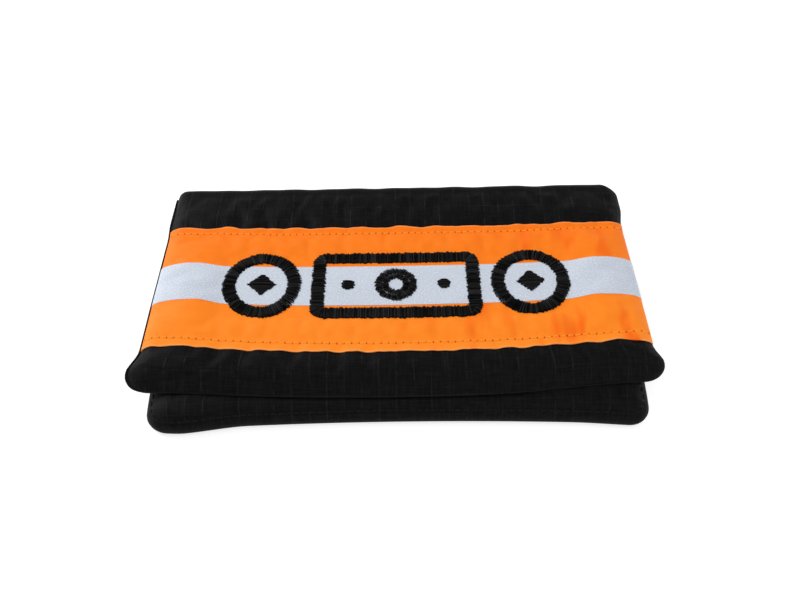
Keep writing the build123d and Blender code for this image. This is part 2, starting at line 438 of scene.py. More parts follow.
def tubes_object(name, lines, ups, radius, sides=6, extra=None):
    """Many closed tubes of one length in points. lines is tubes by points by 3, and ups gives which way is up.

    extra holds the points and faces of anything else in the mesh.
    """
    tubes, points = lines.shape[:2]
    tangent = np.gradient(lines, axis=1)
    tangent /= np.linalg.norm(tangent, axis=-1, keepdims=True) + 1e-9
    side = np.cross(tangent, ups)
    side /= np.linalg.norm(side, axis=-1, keepdims=True) + 1e-9
    up = np.cross(side, tangent)
    angles = np.arange(sides) * 2 * math.pi / sides
    radius = np.broadcast_to(np.asarray(radius, float), (tubes, points))[..., None, None]
    ring = np.cos(angles)[:, None] * side[:, :, None] + np.sin(angles)[:, None] * up[:, :, None]
    verts = (lines[:, :, None] + ring * radius).reshape(-1, 3)
    one = []
    for k in range(points - 1):
        for s in range(sides):
            n = (s + 1) % sides
            one.append((k * sides + s, (k + 1) * sides + s, (k + 1) * sides + n, k * sides + n))
    one.append(tuple(range(sides)))
    one.append(tuple((points - 1) * sides + s for s in range(sides))[::-1])
    size = points * sides
    faces = [tuple(v + t * size for v in face) for t in range(tubes) for face in one]
    if extra is not None:
        extra_points, extra_faces = extra
        faces += [tuple(v + len(verts) for v in face) for face in extra_faces]
        verts = np.concatenate([verts, extra_points])
    return make_object(name, verts, faces)


# Wrinkles of the flap and the front wall, by cloth simulation


def simulate_padding(x_ends, y_ends, pinned, bend, pressure, growth, calm, cap):
    """Blows up a flat cloth that is held where pinned says, and returns its movement as a function of x and y.

    growth is how much longer the cloth is than what holds it, and calm scales the broad swell, so that
    mostly the puckers stay. No point moves further than cap.
    """
    step, frames, smoothing = 2.6, 24, 14
    scale = 10.0  # the solver behaves best on a sheet a couple of metres wide
    x_lines = np.linspace(*x_ends, int((x_ends[1] - x_ends[0]) / step) + 1)
    y_lines = np.linspace(*y_ends, int((y_ends[1] - y_ends[0]) / step) + 1)
    x, y = np.meshgrid(x_lines, y_lines, indexing="ij")
    rows, columns = x.shape
    flat = stack(x, y, 0.0)
    sheet = make_object("simulated", flat * scale, grid_faces(rows, columns))
    held = sheet.vertex_groups.new(name="held")
    held.add([int(i) for i in np.flatnonzero(pinned(x, y).ravel())], 1.0, "REPLACE")
    cloth = sheet.modifiers.new("Cloth", "CLOTH")
    cloth.settings.quality = 6
    cloth.settings.mass = 0.15
    cloth.settings.tension_stiffness = 15
    cloth.settings.compression_stiffness = 15
    cloth.settings.shear_stiffness = 8
    cloth.settings.bending_stiffness = bend
    cloth.settings.tension_damping = 10
    cloth.settings.air_damping = 4
    cloth.settings.use_pressure = True
    cloth.settings.uniform_pressure_force = pressure
    cloth.settings.shrink_min = -growth
    cloth.settings.shrink_max = -growth
    cloth.settings.vertex_group_mass = "held"
    cloth.settings.effector_weights.gravity = 0
    cloth.collision_settings.use_collision = False
    for number in range(1, frames + 1):
        bpy.context.scene.frame_set(number)
    shape = sheet.evaluated_get(bpy.context.evaluated_depsgraph_get())
    moved = np.array([v.co for v in shape.data.vertices]).reshape(rows, columns, 3) / MM / scale - flat
    bpy.data.objects.remove(sheet)
    bpy.context.scene.frame_set(1)
    broad = moved
    for _ in range(smoothing):
        wide = np.pad(broad, ((1, 1), (1, 1), (0, 0)), mode="edge")
        broad = (wide[:-2, 1:-1] + wide[2:, 1:-1] + wide[1:-1, :-2] + wide[1:-1, 2:]) / 4
    moved = broad * calm + (moved - broad)
    length = np.linalg.norm(moved, axis=-1, keepdims=True)
    moved *= np.minimum(1, cap / np.maximum(length, 1e-6))

    def field(at_x, at_y):
        u = np.clip((at_x - x_ends[0]) / (x_ends[1] - x_ends[0]), 0, 1) * (rows - 1)
        v = np.clip((at_y - y_ends[0]) / (y_ends[1] - y_ends[0]), 0, 1) * (columns - 1)
        return cubic_sample(moved, u, v)

    return field


def cubic_sample(values, u, v):
    """Smooth reading of a grid of vectors at fractional places."""

    def weights(t):
        near, nearer = 3 * t**3 - 6 * t**2 + 4, -3 * t**3 + 3 * t**2 + 3 * t + 1
        return (1 - t) ** 3 / 6, near / 6, nearer / 6, t**3 / 6

    rows, columns = values.shape[:2]
    i, j = np.floor(u).astype(int), np.floor(v).astype(int)
    wu, wv = weights(u - i), weights(v - j)
    total = 0
    for a in range(4):
        for b in range(4):
            at = values[np.clip(i + a - 1, 0, rows - 1), np.clip(j + b - 1, 0, columns - 1)]
            total = total + at * (wu[a] * wv[b])[..., None]
    return total


band_back_row = middle_mm("band_back_stitching")[1] - back_trim
band_front_row = middle_mm("band_front_stitching")[1]
mouth_row = middle_mm("mouth_topstitching")[1]


def flap_pins(p, q):
    """Where the flap's cloth is held: its edges, the fold, the band's two rows of stitching and the marks."""
    edge = flap_face.edge_distance(p, q) < 3.4
    fold = q > flap_face.bend - 3
    rows = (np.abs(q - band_back_row) < 1.5) | (np.abs(q - band_front_row) < 1.5)
    marks = (np.abs(p) < marks_reach) & (q > note_low[1] - 1) & (q < note_high[1] + 1)
    return edge | fold | rows | marks


def front_pins(x, y):
    """Where the front wall's cloth is held: its edges, the mouth's stitching and the loop tape's edge."""
    edge = (wall_half - np.abs(x) < 2) | (y < hinge_y + 2) | (y > mouth_y - 6)
    tape = (np.abs(x) < loop_high[0] + 1) & (y > loop_low[1] - 1) & (y < loop_high[1] + 1)
    return edge | tape


front_field = None
flap_face.field = simulate_padding(
    (-half_width, half_width), (flap_front, flap_face.bend), flap_pins,
    bend=0.4, pressure=1.6, growth=0.026, calm=0.6, cap=2.6,
)
front_field = simulate_padding(
    (-wall_half, wall_half), (hinge_y, mouth_y), front_pins,
    bend=0.6, pressure=1.6, growth=0.014, calm=0.35, cap=1.6,
)


# Materials


def feed(tree, place, value):
    """Gives a node's input a number, a colour or a worked-out value."""
    if isinstance(value, Value):
        tree.links.new(value.socket, place)
    else:
        place.default_value = (*value, 1) if isinstance(value, tuple) else value


class Value:
    """A number or colour worked out by a material's nodes, with the usual arithmetic."""

    def __init__(self, tree, socket):
        self.tree = tree
        self.socket = socket

    def math(self, operation, *others):
        """A math node on this value and others, each a number or another value."""
        node = self.tree.nodes.new("ShaderNodeMath")
        node.operation = operation
        for place, value in zip(node.inputs, (self, *others)):
            feed(self.tree, place, value)
        return Value(self.tree, node.outputs[0])

    def __add__(self, other):
        return self.math("ADD", other)

    def __sub__(self, other):
        return self.math("SUBTRACT", other)

    def __mul__(self, other):
        return self.math("MULTIPLY", other)

    def at_least(self, other):
        return self.math("MAXIMUM", other)

    def at_most(self, other):
        return self.math("MINIMUM", other)

    def wave(self, pitch, sharpness=1.0):
        """A ridge that repeats every pitch along this coordinate, from 0 to 1."""
        ridge = (self * (2 * math.pi / pitch)).math("COSINE") * 0.5 + 0.5
        return ridge.math("POWER", sharpness) if sharpness != 1.0 else ridge


class Material:
    """A material with a principled shader, and the nodes that work out its looks."""

    def __init__(self, name, color, roughness, specular, sheen=0.0, emission=0.0):
        self.data = bpy.data.materials.new(name)
        self.data.use_nodes = True
        self.tree = self.data.node_tree
        self.set("Base Color", color)
        self.set("Roughness", roughness)
        self.set("Specular IOR Level", specular)
        self.set("Sheen Weight", sheen)
        self.set("Sheen Roughness", 0.45)
        self.set("Emission Color", color)
        self.set("Emission Strength", emission)

    def set(self, name, value):
        feed(self.tree, self.tree.nodes["Principled BSDF"].inputs[name], value)

    def node(self, kind, output=0, **inputs):
        """A new node's output, with its inputs set."""
        node = self.tree.nodes.new(kind)
        for name, value in inputs.items():
            feed(self.tree, node.inputs[name], value)
        return Value(self.tree, node.outputs[output])

    def cloth(self):
        """The place on the cut cloth: across and along in millimetres, and both as one coordinate in metres."""
        node = self.tree.nodes.new("ShaderNodeUVMap")
        node.uv_map = "cloth"
        uv = Value(self.tree, node.outputs[0])
        split = self.tree.nodes.new("ShaderNodeSeparateXYZ")
        feed(self.tree, split.inputs[0], uv)
        u, v = (Value(self.tree, split.outputs[k]).math("DIVIDE", MM) for k in range(2))
        return u, v, uv

    def noise(self, place, scale, detail=3.0):
        return self.node("ShaderNodeTexNoise", "Fac", Vector=place, Scale=scale, Detail=detail)

    def streaks(self, u, v, across, along, scale=1100.0, detail=1.0):
        """Noise drawn out along the cloth: across and along are how fine it is each way."""
        place = self.node("ShaderNodeCombineXYZ", X=u * (across * MM), Y=v * (along * MM))
        return self.noise(place, scale, detail)

    def mix(self, share, a, b):
        """A colour between a and b."""
        node = self.tree.nodes.new("ShaderNodeMix")
        node.data_type = "RGBA"
        color_a, color_b, color_out = node.inputs[6], node.inputs[7], node.outputs[2]
        for place, value in ((node.inputs["Factor"], share), (color_a, a), (color_b, b)):
            feed(self.tree, place, value)
        return Value(self.tree, color_out)

    def bump(self, height, distance):
        self.set("Normal", self.node("ShaderNodeBump", Height=height, Distance=distance * MM, Strength=1.0))


def ripstop_material():
    """Black rip-stop: a fine plain weave with a thicker thread every few millimetres both ways."""
    cloth = Material("ripstop_cloth", (0.005, 0.005, 0.006), 0.5, specular=0.06)
    u, v, uv = cloth.cloth()
    worn = (cloth.noise(uv, 300.0) * cloth.noise(uv, 80.0) * 10.0 - 1.9).at_least(0.16)
    lines = u.wave(ripstop_pitch, 90.0).at_least(v.wave(ripstop_pitch, 90.0) * 0.45) * worn
    mottle = cloth.streaks(u, v, 1.0, 0.10) + cloth.streaks(u, v, 0.10, 1.0)
    mottle = (mottle * 1.6 - 1.2).at_least(0.0)
    shade = mottle * 0.45 + lines * 0.55
    cloth.set("Base Color", cloth.mix(shade, (0.0022, 0.0022, 0.0026), (0.013, 0.013, 0.0145)))
    cloth.bump(lines * 1.6 + u.wave(0.7) * v.wave(0.7), 0.07)
    return cloth.data


def lining_material():
    """Black lining: a plain close weave."""
    cloth = Material("lining_cloth", (0.006, 0.006, 0.007), 0.7, specular=0.12)
    u, v, uv = cloth.cloth()
    color = cloth.mix(cloth.noise(uv, 140.0), (0.004, 0.004, 0.0045), (0.010, 0.010, 0.0105))
    cloth.set("Base Color", color)
    cloth.bump(u.wave(0.6) * v.wave(0.6), 0.05)
    return cloth.data


def needle_holes(u, v):
    """1 at each needle hole of the band's two rows of stitching, and 0 elsewhere."""
    rows = (band_back_row, band_front_row)
    back, front = (((v - row).math("ABSOLUTE") * -1.05 + 1.0).at_least(0.0) for row in rows)
    return u.wave(stitch_pitch, 9.0) * back.at_least(front)


def trim_material():
    """Fluorescent orange polyester, fine diagonal weave; painted glow and lighter front, redder painted shade in
    folds and needle holes, and painted edge highlights.
    """
    # painted glow: the emission stands in for the fluorescent dye's extra brightness
    cloth = Material("trim_cloth", (1.0, 0.235, 0.012), 0.55, specular=0.12, emission=0.12)
    u, v, uv = cloth.cloth()
    # random mottle, plus painted light: lighter towards the band's front, darker towards its back
    lighter = cloth.noise(uv, 220.0) * 0.8 + 0.1 - v * 0.011
    color = cloth.mix(lighter, (0.95, 0.185, 0.006), (1.0, 0.262, 0.017))
    # painted highlight: the band's two long edges are paler, where their folded hems would catch the light
    edge_highlight_width = 0.7
    back_edge_highlight, front_edge_highlight = v - (band_high[1] - back_trim - edge_highlight_width), v * -1.0 + (band_low[1] + edge_highlight_width)
    color = cloth.mix(back_edge_highlight.at_least(front_edge_highlight).at_least(0.0), color, (1.0, 0.42, 0.14))
    # painted shade: soft folds along the band are darkened to a redder orange, more towards the right
    crease_shade = (cloth.streaks(u, v, 1.0, 0.3, 85.0, 2.0) * 5.0 - 2.7).at_least(0.0)
    crease_shade = (crease_shade * (u * 0.02 + 0.15)).at_least(0.0).at_most(1.0)
    color = cloth.mix(crease_shade, color, (0.93, 0.150, 0.005))
    holes = needle_holes(u, v)
    uneven = (cloth.noise(uv, 500.0, 1.0) * 2.6 - 0.4).at_most(1.0)
    # painted shade: the needle holes are darkened, unevenly
    color = cloth.mix(holes * uneven, color, (0.07, 0.012, 0.001))
    cloth.set("Base Color", color)
    # the painted glow takes this colour, painted shade and highlights included
    cloth.set("Emission Color", color)
    weave = (u + v * 0.5).wave(0.55) * v.wave(0.45)
    cloth.bump(weave - holes * 4.0, 0.05)
    return cloth.data


def silver_material():
    """Retroreflective tape: glass beads on a grey ground, with glints of the beads painted in as bright specks.
    """
    tape = Material("reflective_tape", (0.52, 0.57, 0.66), 0.6, specular=0.3)
    uv = tape.cloth()[2]
    beads = tape.noise(uv, 2600.0, 2.0)
    # painted highlight: bright specks stand in for glints off the glass beads
    painted_glints = (tape.noise(uv, 1500.0, 1.0) * 5.0 - 2.6).at_least(0.0)
    shade = beads * 0.7 + tape.noise(uv, 60.0) * 0.3 + painted_glints * 0.9
    tape.set("Base Color", tape.mix(shade, (0.46, 0.51, 0.60), (0.74, 0.80, 0.90)))
    tape.bump(beads, 0.05)
    return tape.data


def speckled_material(
    name, color, shades, roughness, scale, specular, sheen=0.0, emission=0.0, detail=3.0, depth=0.0
):
    """Thread, tape or wadding, speckled with two shades, and with a bump where depth is given."""
    material = Material(name, color, roughness, specular, sheen, emission)
    speckle = material.noise(material.node("ShaderNodeTexCoord", "Object"), scale, detail)
    material.set("Base Color", material.mix(speckle, *shades))
    if depth:
        material.bump(speckle, depth)
    return material.data


def shades_of(color, dark, light):
    """A darker and a lighter shade of a colour, given as shares of it."""
    return [tuple(min(1.0, part * share) for part in color) for share in (dark, light)]


def thread_material(name, color, emission=0.0):
    """Polyester thread."""
    return speckled_material(name, color, shades_of(color, 0.85, 1.3), 0.5, 900.0, 0.06, emission=emission)


def tape_material(name, grey, scale):
    """The woven ground of hook or loop tape, with its hooks or loops."""
    color = (grey,) * 3
    return speckled_material(name, color, shades_of(color, 0.5, 2.0), 0.8, scale, 0.2, sheen=0.4, depth=0.3)


def satin_material():
    """Black embroidery thread, each thread a random colour from near black to dark grey, the lighter ones a
    painted sheen.
    """
    thread = Material("satin_thread", (0.004, 0.004, 0.005), 0.26, specular=0.06)
    # painted sheen: the lighter threads stand in for the highlights along satin thread; the rest is random tone
    shade = thread.node("ShaderNodeNewGeometry", "Random Per Island").math("POWER", 2.5)
    thread.set("Base Color", thread.mix(shade, (0.0003, 0.0003, 0.0004), (0.024, 0.024, 0.026)))
    return thread.data


ripstop = ripstop_material()
lining = lining_material()
trim = trim_material()
silver = silver_material()
wadding = speckled_material(
    "wadding", (0.80, 0.80, 0.78), ((0.66, 0.66, 0.64), (0.9, 0.9, 0.88)), 0.9, 400.0, 0.2,
    sheen=0.5, detail=6.0, depth=0.4,
)
# painted glow: the emission lifts the orange stitches out of the shade about them
orange_thread = thread_material("orange_thread", (1.0, 0.30, 0.03), emission=0.16)
black_thread = thread_material("black_thread", (0.009, 0.009, 0.010))
satin_thread = satin_material()
hook_tape = tape_material("hook_tape", 0.012, 1500.0)
loop_tape = tape_material("loop_tape", 0.018, 1100.0)


# Cloth sheets of the flap and the back wall


def stand_for(piece, slot, *nodes, body=None):
    """Hides the CAD nodes that a piece stands for, and attaches it to the body that it rides on, where one is
    given. slot is not used.
    """
    if body is not None:
        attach(piece, body)
    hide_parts(*nodes)
    return piece


def wall_sheet(wall, name, material, step):
    """The whole of a wall's face as a closed sheet of cloth."""
    p, q = wall.grid(step)
    points, normal = wall.lifted(p, q)
    roll_arc = (math.pi / 2 - 1) * wall.roll
    side_stretch = roll_arc * (1 - np.clip((wall.half(q) - np.abs(p)) / wall.roll, 0, 1))
    front_stretch = roll_arc * (1 - np.clip((q - wall.front) / wall.roll, 0, 1))
    uvs = stack(p + np.sign(p) * side_stretch, q - front_stretch)
    return paint(sheet_object(name, points, normal, uvs, flip=wall.faces * wall.down < 0), material)


for name, wall, nodes, slot, material, step in (
    ("flap_cloth", flap_face, ("flap_outer",), "ripstop_black", ripstop, 1.3),
    ("flap_lining_cloth", flap_lining, ("flap_lining",), "lining_black", lining, 2.5),
    ("back_cloth", back_face, ("back_panel_outer", "spine_outer"), "ripstop_black", ripstop, 1.8),
    ("back_lining_cloth", back_lining, ("back_panel_lining", "spine_lining"), "lining_black", lining, 2.5),
):
    cloth = wall_sheet(wall, name, material, step)
    if wall.down > 0:
        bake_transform(cloth)
    else:
        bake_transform(cloth)
    stand_for(cloth, slot, *nodes)
    if wall.down > 0:
        (flap_face.end - flap_front) * MM
    else:
        (back_face.end - pouch_front) * MM


# Band and stripe


def strip_sheet(name, material, q_low, q_high, lift, thickness, step, ragged=0.0, seed=1):
    """A strip of cloth laid across the flap, following it over both side edges."""
    across = edge_lines(-half_width + 0.1, half_width - 0.1, flap_face.roll, step)
    along = np.linspace(q_low, q_high, int((q_high - q_low) / step) + 1)
    p, q = np.meshgrid(across, along, indexing="ij")
    low_edge, high_edge = 1 - ramp(q, q_low, q_low + 3), 1 - ramp(q, q_high, q_high - 3)
    shift = ragged * (low_edge * wander(p, 25.0, seed) + high_edge * wander(p, 22.0, seed + 1))
    ripple = 0.22 * ragged * (low_edge + high_edge) * wander(p, 7.0, seed + 2)
    points, normal = flap_face.lifted(p, q + shift, lift + np.maximum(ripple, -0.1))
    return paint(sheet_object(name, points, normal, stack(p, q), thickness), material)


band_thickness = band_high[2] - band_low[2]
stripe_thickness = stripe_high[2] - stripe_low[2]
band_lift = band_thickness + 0.05
stripe_lift = band_lift + stripe_thickness
band_back, stripe_back = band_high[1] - back_trim, stripe_high[1] - back_trim

trim_band = strip_sheet(
    "trim_band", trim, band_low[1], band_back, band_lift, band_thickness, 1.0, ragged=0.55, seed=11
)
silver_stripe = strip_sheet(
    "silver_stripe", silver, stripe_low[1], stripe_back, stripe_lift, stripe_thickness, 1.2
)
for strip, node, slot, depth in (
    (trim_band, "high_visibility_band", "trim_orange", band_back - band_low[1]),
    (silver_stripe, "reflective_stripe", "reflective_silver", stripe_back - stripe_low[1]),
):
    stand_for(strip, slot, node, body="flap")
    depth * MM


# Stitching


def stitches(name, holes, ups, ends, radius, material, rise=0.30, keep=None):
    """A row of separate stitches from one needle hole to the next.

    ends gives the shares of the gap between two holes at which a stitch starts and ends, and keep, where
    given, picks the stitches to make by the x of their middles.
    """
    sink = 0.22
    shares = np.array([0.0, 0.06, 0.22, 0.5, 0.78, 0.94, 1.0])
    heights = np.array([-sink, 0.05, 0.85 * rise, rise, 0.85 * rise, 0.05, -sink])
    thin = radius * np.array([0.7, 0.9, 1.0, 1.0, 1.0, 0.9, 0.7])
    ups = np.broadcast_to(np.asarray(ups, float), holes.shape)[:-1]
    start, direction = holes[:-1], np.diff(holes, axis=0)
    if keep is not None:
        chosen = keep((start + direction / 2)[:, 0])
        start, direction, ups = start[chosen], direction[chosen], ups[chosen]
    t = ends[0] + (ends[1] - ends[0]) * shares
    lines = start[:, None] + direction[:, None] * t[None, :, None] + ups[:, None] * heights[None, :, None]
    return paint(tubes_object(name, lines, np.broadcast_to(ups[:, None], lines.shape), thin[None, :]), material)


row_count = int((half_width - 0.6) / stitch_pitch)
row_holes = np.arange(-row_count, row_count + 1) * stitch_pitch
for name, row, node in (
    ("band_back_stitches", band_back_row, "band_back_stitching"),
    ("band_front_stitches", band_front_row, "band_front_stitching"),
):
    holes, ups = flap_face.lifted(row_holes, row, band_lift)
    row_of_stitches = stitches(name, holes, ups, (0.15, 0.85), 0.27, orange_thread, rise=0.16)
    stand_for(row_of_stitches, "thread_orange", node, body="flap")


# Embroidery


def satin(name, chords, seed):
    """A satin-stitched mark: one raised thread for each chord, over a thin dark underlay.

    chords is a list of runs, each an array of (inner p, inner q, outer p, outer q) for threads side by side.
    """
    rng = np.random.default_rng(seed)
    lines, ups, base_points, base_faces = [], [], [], []
    shares = np.linspace(0, 1, 8)
    crown = np.sin(math.pi * shares) ** 0.5
    ground = stripe_lift - 0.05
    for run in chords:
        a, b = run[:, :2], run[:, 2:]
        direction = b - a
        length = np.linalg.norm(direction, axis=1, keepdims=True)
        direction = direction / np.maximum(length, 1e-6)
        a = a - direction * rng.uniform(-0.35, 0.50, (len(a), 1))
        b = b + direction * rng.uniform(-0.35, 0.50, (len(b), 1))
        p, q = np.moveaxis(a[:, None] + (b - a)[:, None] * shares[None, :, None], -1, 0)
        height = np.minimum(0.42, 0.10 * length + 0.2)
        lift = ground + crown[None, :] * height * rng.uniform(0.6, 1.25, (len(a), 1))
        points, normal = flap_face.lifted(p, q, lift)
        lines.append(points)
        ups.append(normal)
        closed = np.allclose(run[0], run[-1], atol=0.6)
        base_faces += slab_faces(*p.shape, sum(map(len, base_points)), flip=True, wrap=closed)[0]
        for level in (np.maximum(lift - 0.34, ground), band_lift - 0.15):
            base_points.append(flap_face.lifted(p, q, level)[0].reshape(-1, 3))
    extra = (np.concatenate(base_points), base_faces)
    mark = tubes_object(name, np.concatenate(lines), np.concatenate(ups), 0.27, extra=extra)
    stand_for(paint(mark, satin_thread), "thread_black", name.replace("satin", "embroidered"), body="flap")


def ring_chords(centre, inner, outer):
    """Threads from an inner to an outer ellipse, each given by its two half widths."""
    around = math.pi * (outer[0] + outer[1] + inner[0] + inner[1]) / 2
    angle = np.linspace(0, 2 * math.pi, int(around / thread_pitch), endpoint=False)
    turns = (np.cos(angle), np.sin(angle))
    return stack(*(centre[k] + size[k] * turns[k] for size in (inner, outer) for k in range(2)))


def filled_chords(centre, half_height, half_length):
    """Level threads stacked up a filled shape. half_length gives the shape's half width at a height."""
    height = np.arange(-half_height + 0.3, half_height - 0.2, thread_pitch)
    reach = half_length(height)
    return stack(centre[0] - reach, centre[1] + height, centre[0] + reach, centre[1] + height)


def frame_chords(centre, half_p, half_q, stroke):
    """Threads across the four sides of a frame, which fan out round its corners."""
    inner_p, inner_q = half_p - stroke, half_q - stroke
    runs = []
    for quarter in range(4):
        turn = quarter * math.pi / 2
        side, reach = (inner_q, inner_p) if quarter % 2 == 0 else (inner_p, inner_q)
        along = np.arange(-reach, reach, thread_pitch)
        fan = np.linspace(0, math.pi / 2, int(stroke * math.pi / 2 / thread_pitch))
        fan_out = stroke * stack(-np.sin(fan), np.cos(fan))
        short = np.where(np.arange(len(fan)) % 2 == 0, 0.05, 0.45)[:, None]
        start = np.concatenate([stack(-along, side), np.array([-reach, side]) + fan_out * short])
        out = np.concatenate([stack(0 * along, stroke), fan_out * (1 - short)])
        spin = np.array([[math.cos(turn), math.sin(turn)], [-math.sin(turn), math.cos(turn)]])
        runs.append(np.concatenate([start @ spin, (start + out) @ spin], -1))
    return np.concatenate(runs) + np.array([*centre, *centre])


stroke = 6.0
diamond = 6.36  # half diagonal of the mark in each coin
for side in ("left", "right"):
    low, high = box_mm(f"embroidered_coin_{side}")
    centre, half = (low + high) / 2, (high - low) / 2
    ring = ring_chords(centre, half - stroke, half)
    filled = filled_chords(centre, diamond, lambda h: diamond - np.abs(h) + 0.2)
    satin(f"satin_coin_{side}", [ring, filled], seed=len(side))

note_middle, note_half = (note_low + note_high) / 2, (note_high - note_low) / 2
note_ring, note_dot, note_dot_reach = 9.5, 3.0, 22.0
ring_sizes = (note_ring - stroke, note_ring - stroke / 2, note_ring)
rings = [ring_chords(note_middle, (inner,) * 2, (outer,) * 2) for inner, outer in zip(ring_sizes, ring_sizes[1:])]
dots = [
    filled_chords(note_middle + np.array([reach, 0, 0]), note_dot,
                  lambda h: np.sqrt(np.maximum(note_dot**2 - h**2, 0.05)))
    for reach in (-note_dot_reach, note_dot_reach)
]
note_frame = frame_chords(note_middle[:2], note_half[0], note_half[1], stroke)
satin("satin_banknote", [note_frame, *rings, *dots], seed=3)


# Pouch rim


def rim_path():
    """The pouch's outer edge and the rim's inner edge, point for point, from the left mouth end to the right."""
    mouth_half = float(pouch_half(np.array(mouth_y)))
    side_slope = (mouth_half - pouch_half_front) / (mouth_y - pouch_front)
    corner = np.linspace(0, math.pi / 2, 22)[1:-1]

    def half_path(half, front, slope, r):
        """An edge down the left side, round a corner of radius r, and to the middle of the front."""
        side = np.linspace(mouth_y, front + r, 60)
        corner_x = -(half + slope * r - r) - r * np.cos(corner)
        parts = [
            stack(-(half + slope * (side - front)), side),
            stack(corner_x, front + r - r * np.sin(corner)),
            stack(np.linspace(-(half - r), 0, 60), front),
        ]
        return np.concatenate(parts)

    outer = half_path(pouch_half_front, pouch_front, side_slope, pouch_corner)
    inner = half_path(rim_inside, hinge_y, 0.0, 0.5)
    middle = np.clip(1 - (outer[:, 0] / pouch_half_front) ** 2, 0, 1)
    outer[:, 1] += pouch_bow * middle * ramp(outer[:, 1], -40, -60)
    return [np.concatenate([path, path[-2::-1] * [-1.0, 1.0]]) for path in (outer, inner)]


rim_outer, rim_inner = rim_path()
rim_out = rim_outer - rim_inner
rim_width = np.linalg.norm(rim_out, axis=1)
rim_out = rim_out / rim_width[:, None]
rim_thin = ramp(rim_outer[:, 1], -38, -60)  # 1 along the pressed front edge


def rim_top(inset, width, thin):
    """Height of the rim's upper side at an inset from its outer edge. thin is 1 at the pressed front edge."""
    roll = (front_top - side_seam_z) * rolled(1 - np.clip(inset / rim_roll, 0, 1))
    full = front_top - roll + 0.3 * np.sin(math.pi * np.clip(inset / width, 0, 1))
    slope = 1 - np.clip(inset / width, 0, 1)
    pressed = seam_front_z + (front_top - seam_front_z) * np.clip(1 - slope * slope, 0, 1) ** 0.6
    pressed = pressed - 0.45 * bump(inset - front_stitch_inset, 0.8)
    return full + (pressed - full) * thin


def make_rim():
    """The padded, turned edge along the pouch's sides and front, as a closed tube of one section per place."""
    width, thin = rim_width[:, None], rim_thin[:, None]
    level = np.zeros_like(width)
    seam = side_seam_z + (seam_front_z - side_seam_z) * thin
    floor = pocket_floor + 0.15
    roll_insets = rim_roll * (1 - np.cos(np.linspace(0, math.pi / 2, 9))) + level
    top_insets = np.concatenate([roll_insets, rim_roll + (width - rim_roll) * np.linspace(0.08, 1.0, 12)], 1)
    top_z = rim_top(top_insets, width, thin)
    arc = np.hypot(np.diff(top_insets, prepend=0.0), np.diff(top_z, prepend=top_z[:, :1])).cumsum(1)
    inner_z = np.linspace(front_top - 0.9, floor, 5) + level
    under_insets = np.concatenate([width / 2, level + 2.4, level + 0.9], 1)
    under_z = np.concatenate([level + floor, np.minimum(seam, pocket_floor) - 0.6, seam - 1.1], 1)
    insets = np.concatenate([top_insets, width + 0 * inner_z, under_insets], 1)
    heights = np.concatenate([top_z, inner_z, under_z], 1)
    on_cloth = np.concatenate([width + 4.0 - arc, inner_z - front_top, 0 * under_z], 1)
    plan = rim_outer[:, None] - rim_out[:, None] * insets[..., None]
    points = settle_pouch(np.concatenate([plan, heights[..., None]], -1))
    uvs = rim_inner[:, None] + rim_out[:, None] * on_cloth[..., None]
    rows, columns = insets.shape
    faces = []
    for near in range(0, (rows - 1) * columns, columns):
        far = near + columns
        for j in range(columns):
            k = (j + 1) % columns
            faces.append((near + j, far + j, far + k, near + k))
    faces.append(tuple(range(columns)))
    faces.append(tuple((rows - 1) * columns + j for j in range(columns))[::-1])
    inner_edge = [i * columns + top_z.shape[1] - 1 for i in range(rows)]
    return paint(make_object("pouch_rim", points, faces, uvs, crisp=inner_edge), ripstop)


pouch_rim = stand_for(make_rim(), "ripstop_black", "pouch_seam_edge", body="pouch")


def rim_stitches():
    """Topstitching along the rim, nearer the pouch's edge where it is pressed."""
    inset = rim_stitch_inset + (front_stitch_inset - rim_stitch_inset) * rim_thin
    line = rim_outer - rim_out * inset[:, None]
    length = np.concatenate([[0], np.cumsum(np.linalg.norm(np.diff(line, axis=0), axis=1))])
    places = np.arange(1.0, length[-1] - 1.0, stitch_pitch)
    along_rim = (line[:, 0], line[:, 1], inset, rim_width, rim_thin)
    x, y, inset, width, thin = (np.interp(places, length, values) for values in along_rim)
    holes = settle_pouch(stack(x, y, rim_top(inset, width, thin)))
    return stitches("pouch_stitches", holes, (0, 0, 1), (0.18, 0.82), 0.25, black_thread)


stand_for(rim_stitches(), "thread_black", "pouch_topstitching", body="pouch")


# Front wall, in two halves that meet in the middle

halves = {"left": -1.0, "right": 1.0}


def front_height(x, y):
    """Swell of the front wall's upper side."""
    swell = 0.35 * np.clip((wall_half - np.abs(x)) / 20, 0, 1)
    if front_field is not None:
        swell = swell + np.clip(front_field(*np.broadcast_arrays(x, y))[..., 2], -0.3, 1.3)
    return swell


def settle_front(p):
    """Follows the front wall's upper side, swell included."""
    x, y, z = np.moveaxis(p, -1, 0)
    return settle_pouch(stack(x, y, z + front_height(x, y)))


